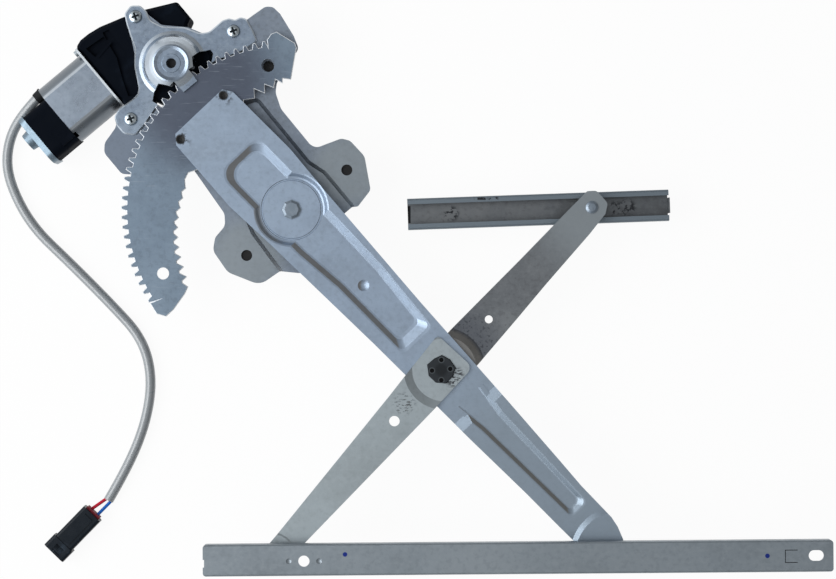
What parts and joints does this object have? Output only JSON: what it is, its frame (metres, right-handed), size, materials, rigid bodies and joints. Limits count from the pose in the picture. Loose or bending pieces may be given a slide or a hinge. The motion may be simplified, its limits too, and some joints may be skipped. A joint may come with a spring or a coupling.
{
  "type": "window regulator",
  "caption": "Crossed-arm electric window regulator: geared motor, toothed sector on a pressed lift arm, cross arm, and two roller rails.",
  "frame": {"origin": "middle of the box's bottom, measured without the lead: Z = 0 is the surface that the motor's back lies on", "axes": "+X along the rails to the viewer's right, +Y towards the upper rail's side, +Z out of the base plate towards the viewer"},
  "size_m": [0.7528, 0.5162, 0.0725],
  "materials": {
    "zinc_plate": "bright zinc-plated pressed steel",
    "arm_steel": "galvanised sheet with a faint spangle",
    "sector_steel": "cold-rolled steel, sheared teeth",
    "cross_steel": "zinc-plated flat bar",
    "cross_dark": "zinc-plated flat bar, dulled",
    "rail_steel": "roll-formed galvanised channel",
    "pin_steel": "plain steel",
    "screw_zinc": "bright zinc",
    "hub_black": "blackened steel",
    "black_plastic": "black moulded plastic",
    "can_steel": "satin zinc-plated drawn can",
    "magnet": "ferrite",
    "copper": "copper windings and segments",
    "nylon": "natural nylon",
    "rubber": "moulded rubber",
    "sheath_grey": "grey soft PVC sleeve",
    "wire_red": "red PVC",
    "wire_blue": "blue PVC",
    "seal_red": "dark red silicone",
    "terminal": "tinned brass"
  },
  "bodies": {
    "base": {"base_plate": "zinc_plate", "weld_nuts": "zinc_plate", "main_pivot_pin": "pin_steel", "gear_cover": "zinc_plate", "cover_screws": "screw_zinc", "cover_bush": "pin_steel", "gearbox_housing": "black_plastic", "gearbox_lid": "black_plastic", "motor_can": "can_steel", "motor_flange": "can_steel", "flange_screws": "screw_zinc", "magnets": "magnet", "motor_end_bell": "black_plastic", "motor_end_cap": "can_steel", "end_bearing": "pin_steel", "brush_holder": "black_plastic", "cable_grommet": "rubber", "cord_sheath": "sheath_grey", "wire_red": "wire_red", "wire_blue": "wire_blue", "connector_housing": "black_plastic", "connector_seal": "seal_red", "connector_terminals": "terminal"},
    "armature": {"armature_shaft": "pin_steel", "armature_core": "copper", "commutator": "copper"},
    "output": {"worm_wheel": "nylon", "rubber_damper": "rubber", "output_shaft": "sector_steel", "pinion": "sector_steel"},
    "lift_arm": {"lift_arm": "arm_steel", "sector_gear": "sector_steel", "arm_rivets": "pin_steel", "lift_roller_pin": "pin_steel"},
    "cross_arm": {"cross_arm_front": "cross_steel", "cross_arm_rear": "cross_dark", "centre_hub": "hub_black", "guide_roller_pin": "pin_steel", "top_roller_pin": "pin_steel"},
    "lift_roller": {"lift_roller": "nylon"},
    "guide_roller": {"guide_roller": "nylon"},
    "top_roller": {"top_roller": "nylon"},
    "glass_rail": {"glass_rail": "rail_steel"},
    "top_rail": {"top_rail": "rail_steel", "rail_studs": "rail_steel"}
  },
  "joints": [
    {"name": "lift", "type": "hinge", "parent": "base", "child": "lift_arm", "pos_m": [-0.11696, 0.06963, 0.048], "axis": [0, 0, 1], "range_deg": [-17, 26]},
    {"name": "cross_turn", "type": "hinge", "parent": "lift_arm", "child": "cross_arm", "pos_m": [0.01965, -0.07452, 0.051], "axis": [0, 0, 1], "range_deg": [-53, 35]},
    {"name": "lift_roller_turn", "type": "hinge", "parent": "lift_arm", "child": "lift_roller", "pos_m": [0.1773, -0.24089, 0.066], "axis": [0, 0, 1], "range_deg": [-27, 18]},
    {"name": "guide_roller_turn", "type": "hinge", "parent": "cross_arm", "child": "guide_roller", "pos_m": [-0.13532, -0.2434, 0.066], "axis": [0, 0, 1], "range_deg": [-18, 27]},
    {"name": "top_roller_turn", "type": "hinge", "parent": "cross_arm", "child": "top_roller", "pos_m": [0.15392, 0.0718, 0.026], "axis": [0, 0, 1], "range_deg": [-18, 27]},
    {"name": "glass_rail_slide", "type": "slide", "parent": "lift_roller", "child": "glass_rail", "axis": [1, 0.008, 0], "range_m": [-0.125, 0.083]},
    {"name": "top_rail_slide", "type": "slide", "parent": "top_roller", "child": "top_rail", "axis": [0.9994, 0.0354, 0], "range_m": [-0.055, 0.15]},
    {"name": "output_turn", "type": "hinge", "parent": "base", "child": "output", "pos_m": [-0.22448, 0.20053, 0.048], "axis": [0, 0, 1], "continuous": true},
    {"name": "armature_turn", "type": "hinge", "parent": "base", "child": "armature", "pos_m": [-0.24634, 0.22658, 0.02], "axis": [0.766, 0.6428, 0], "continuous": true}
  ],
  "couplings": [
    {"joint": "cross_turn", "follows": "lift", "ratio": -2},
    {"joint": "lift_roller_turn", "follows": "lift", "ratio": -1},
    {"joint": "guide_roller_turn", "follows": "lift", "ratio": 1},
    {"joint": "top_roller_turn", "follows": "lift", "ratio": 1},
    {"joint": "glass_rail_slide", "follows": "lift", "m_per_rad": -0.268},
    {"joint": "output_turn", "follows": "lift", "ratio": -8.3077},
    {"joint": "armature_turn", "follows": "lift", "ratio": -299.08}
  ]
}
